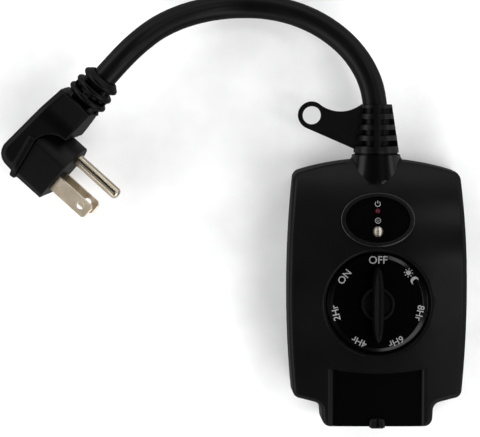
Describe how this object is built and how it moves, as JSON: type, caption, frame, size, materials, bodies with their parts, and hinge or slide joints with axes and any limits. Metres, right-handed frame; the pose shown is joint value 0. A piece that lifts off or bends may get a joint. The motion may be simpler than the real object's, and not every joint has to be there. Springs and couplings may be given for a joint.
{
  "type": "plug in timer switch",
  "caption": "Outdoor plug-in timer switch: flat black case with a rotary dial, a light-sensor window, a lidded grounded outlet, and a short cord ending in a right-angle plug.",
  "frame": {"origin": "on the flat back, under the dial's axis", "axes": "+Z out of the front face, +Y from the outlet towards the cord, +X to the right as the dial is read"},
  "size_m": [0.1855, 0.1722, 0.0466],
  "materials": {
    "housing": "satin",
    "gasket": "matte",
    "screw": "satin",
    "window": "gloss",
    "red_lens": "gloss",
    "clear_lens": "gloss",
    "sensor": "gloss",
    "dial": "satin",
    "spindle": "satin",
    "seal": "matte",
    "clip": "satin",
    "switch": "satin",
    "contact": "satin",
    "board": "satin",
    "relay": "satin",
    "film_capacitor": "satin",
    "can": "satin",
    "varistor": "gloss",
    "fuse": "gloss",
    "chip": "matte",
    "relief": "satin",
    "cord": "satin",
    "clamp": "satin",
    "black_wire": "satin",
    "white_wire": "satin",
    "green_wire": "satin",
    "outlet": "satin",
    "cover": "satin",
    "pin": "satin",
    "plug_rubber": "satin",
    "plug_core": "satin",
    "prong": "satin"
  },
  "bodies": {
    "case": {"front_housing": "housing", "rear_housing": "housing", "housing_gasket": "gasket", "housing_screws": "screw", "sensor_window": "window", "power_lamp": "red_lens", "outlet_lamp": "clear_lens", "photocell": "sensor", "switch_base": "switch", "switch_lid": "switch", "switch_contacts": "contact", "main_board": "board", "board_screws": "screw", "relay": "relay", "dropper_capacitor": "film_capacitor", "filter_capacitors": "can", "varistor": "varistor", "fuse": "fuse", "timer_chip": "chip", "strain_relief": "relief", "cord_tail": "cord", "cord_clamp": "clamp", "clamp_screws": "screw", "line_wire": "black_wire", "neutral_wire": "white_wire", "ground_wire": "green_wire", "load_wire": "black_wire", "outlet_face": "outlet", "outlet_carrier": "clamp", "line_contact": "contact", "neutral_contact": "contact", "ground_contact": "contact", "hinge_pin": "pin", "power_cord": "cord", "plug_body": "plug_rubber", "plug_core": "plug_core", "line_blade": "prong", "neutral_blade": "prong", "ground_pin": "prong"},
    "dial": {"dial": "dial", "dial_spindle": "spindle", "dial_seal": "seal", "spindle_clip": "clip", "switch_rotor": "spindle", "rotor_wiper": "contact"},
    "cover": {"outlet_cover": "cover", "cover_gasket": "gasket"}
  },
  "joints": [
    {"name": "dial_turn", "type": "hinge", "parent": "case", "child": "dial", "pos_m": [0, 0, 0.034], "axis": [0, 0, 1], "continuous": true},
    {"name": "cover_hinge", "type": "hinge", "parent": "case", "child": "cover", "pos_m": [0, -0.0484, 0.005], "axis": [1, 0, 0], "range_deg": [0, 90]}
  ]
}
